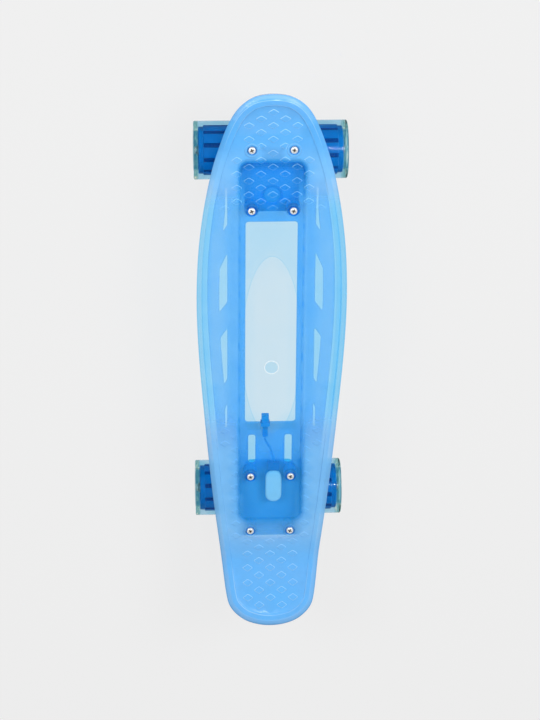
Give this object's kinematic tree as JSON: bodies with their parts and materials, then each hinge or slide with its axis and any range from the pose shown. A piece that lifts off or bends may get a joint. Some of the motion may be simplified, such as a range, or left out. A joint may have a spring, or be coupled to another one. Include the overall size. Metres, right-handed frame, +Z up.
{
  "type": "cruiser skateboard",
  "caption": "Small plastic cruiser skateboard with a translucent kicked deck, a lit undertray with a push switch, two sprung steering trucks and clear wheels.",
  "frame": {"origin": "on the ground under the middle of the bounding box", "axes": "+Y along the board to its rounded nose, +X to the right, +Z up"},
  "size_m": [0.1534, 0.5774, 0.118],
  "materials": {
    "deck_plastic": "translucent glossy plastic, light blue",
    "tray_plastic": "translucent plastic, light blue",
    "lens": "pale milky lens plastic",
    "button": "satin blue",
    "switch_plastic": "satin blue",
    "battery": "foil wrapped cell",
    "circuit": "coated laminate",
    "screw_steel": "bright zinc plate",
    "nut_steel": "zinc plate",
    "truck_metal": "blue powder coat on cast alloy",
    "cup_rubber": "black",
    "kingpin_steel": "plain steel",
    "bushing": "translucent blue elastomer",
    "clear_tyre": "clear cast elastomer, polished",
    "core_plastic": "deep blue moulded core",
    "bearing_steel": "ground steel"
  },
  "bodies": {
    "board": {"deck": "deck_plastic", "undertray": "tray_plastic", "switch_body": "switch_plastic", "switch_lead": "switch_plastic", "pod_base": "tray_plastic", "battery": "battery", "circuit_board": "circuit", "pod_lens": "lens", "deck_bolt_front_nose_left": "screw_steel", "deck_bolt_front_nose_right": "screw_steel", "deck_bolt_front_tail_left": "screw_steel", "deck_bolt_front_tail_right": "screw_steel", "deck_bolt_rear_nose_left": "screw_steel", "deck_bolt_rear_nose_right": "screw_steel", "deck_bolt_rear_tail_left": "screw_steel", "deck_bolt_rear_tail_right": "screw_steel", "deck_nut_front_nose_left": "nut_steel", "deck_nut_front_nose_right": "nut_steel", "deck_nut_front_tail_left": "nut_steel", "deck_nut_front_tail_right": "nut_steel", "deck_nut_rear_nose_left": "nut_steel", "deck_nut_rear_nose_right": "nut_steel", "deck_nut_rear_tail_left": "nut_steel", "deck_nut_rear_tail_right": "nut_steel", "baseplate_front": "truck_metal", "pivot_cup_front": "cup_rubber", "kingpin_front": "kingpin_steel", "board_bushing_front": "bushing", "road_bushing_front": "bushing", "kingpin_washer_front": "kingpin_steel", "kingpin_nut_front": "kingpin_steel", "baseplate_rear": "truck_metal", "pivot_cup_rear": "cup_rubber", "kingpin_rear": "kingpin_steel", "board_bushing_rear": "bushing", "road_bushing_rear": "bushing", "kingpin_washer_rear": "kingpin_steel", "kingpin_nut_rear": "kingpin_steel"},
    "button": {"power_button": "button"},
    "truck_front": {"hanger_front": "truck_metal", "axle_front": "kingpin_steel", "axle_nut_front_left": "nut_steel", "axle_nut_front_right": "nut_steel"},
    "truck_rear": {"hanger_rear": "truck_metal", "axle_rear": "kingpin_steel", "axle_nut_rear_left": "nut_steel", "axle_nut_rear_right": "nut_steel"},
    "wheel_front_left": {"tyre_front_left": "clear_tyre", "wheel_core_front_left": "core_plastic", "bearing_set_front_left": "bearing_steel"},
    "wheel_front_right": {"tyre_front_right": "clear_tyre", "wheel_core_front_right": "core_plastic", "bearing_set_front_right": "bearing_steel"},
    "wheel_rear_left": {"tyre_rear_left": "clear_tyre", "wheel_core_rear_left": "core_plastic", "bearing_set_rear_left": "bearing_steel"},
    "wheel_rear_right": {"tyre_rear_right": "clear_tyre", "wheel_core_rear_right": "core_plastic", "bearing_set_rear_right": "bearing_steel"}
  },
  "joints": [
    {"name": "front_steer", "type": "hinge", "parent": "board", "child": "truck_front", "pos_m": [0, 0.18483, 0.04652], "axis": [0, 0.9397, 0.342], "range_deg": [-12, 12], "stiffness_Nm_per_rad": 25, "deforming": ["board_bushing_front", "road_bushing_front"]},
    {"name": "rear_steer", "type": "hinge", "parent": "board", "child": "truck_rear", "pos_m": [0, -0.14497, 0.04652], "axis": [0, -0.9397, 0.342], "range_deg": [-12, 12], "stiffness_Nm_per_rad": 25, "deforming": ["board_bushing_rear", "road_bushing_rear"]},
    {"name": "front_left_wheel_spin", "type": "hinge", "parent": "truck_front", "child": "wheel_front_left", "pos_m": [-0.0542, 0.20943, 0.02919], "axis": [1, 0, 0], "continuous": true},
    {"name": "front_right_wheel_spin", "type": "hinge", "parent": "truck_front", "child": "wheel_front_right", "pos_m": [0.0542, 0.20943, 0.02919], "axis": [1, 0, 0], "continuous": true},
    {"name": "rear_left_wheel_spin", "type": "hinge", "parent": "truck_rear", "child": "wheel_rear_left", "pos_m": [-0.0542, -0.16957, 0.02919], "axis": [1, 0, 0], "continuous": true},
    {"name": "rear_right_wheel_spin", "type": "hinge", "parent": "truck_rear", "child": "wheel_rear_right", "pos_m": [0.0542, -0.16957, 0.02919], "axis": [1, 0, 0], "continuous": true},
    {"name": "button_press", "type": "slide", "parent": "board", "child": "button", "axis": [0, -1, 0], "range_m": [0, 0.0015], "stiffness_N_per_m": 500, "springref_m": -0.002}
  ]
}
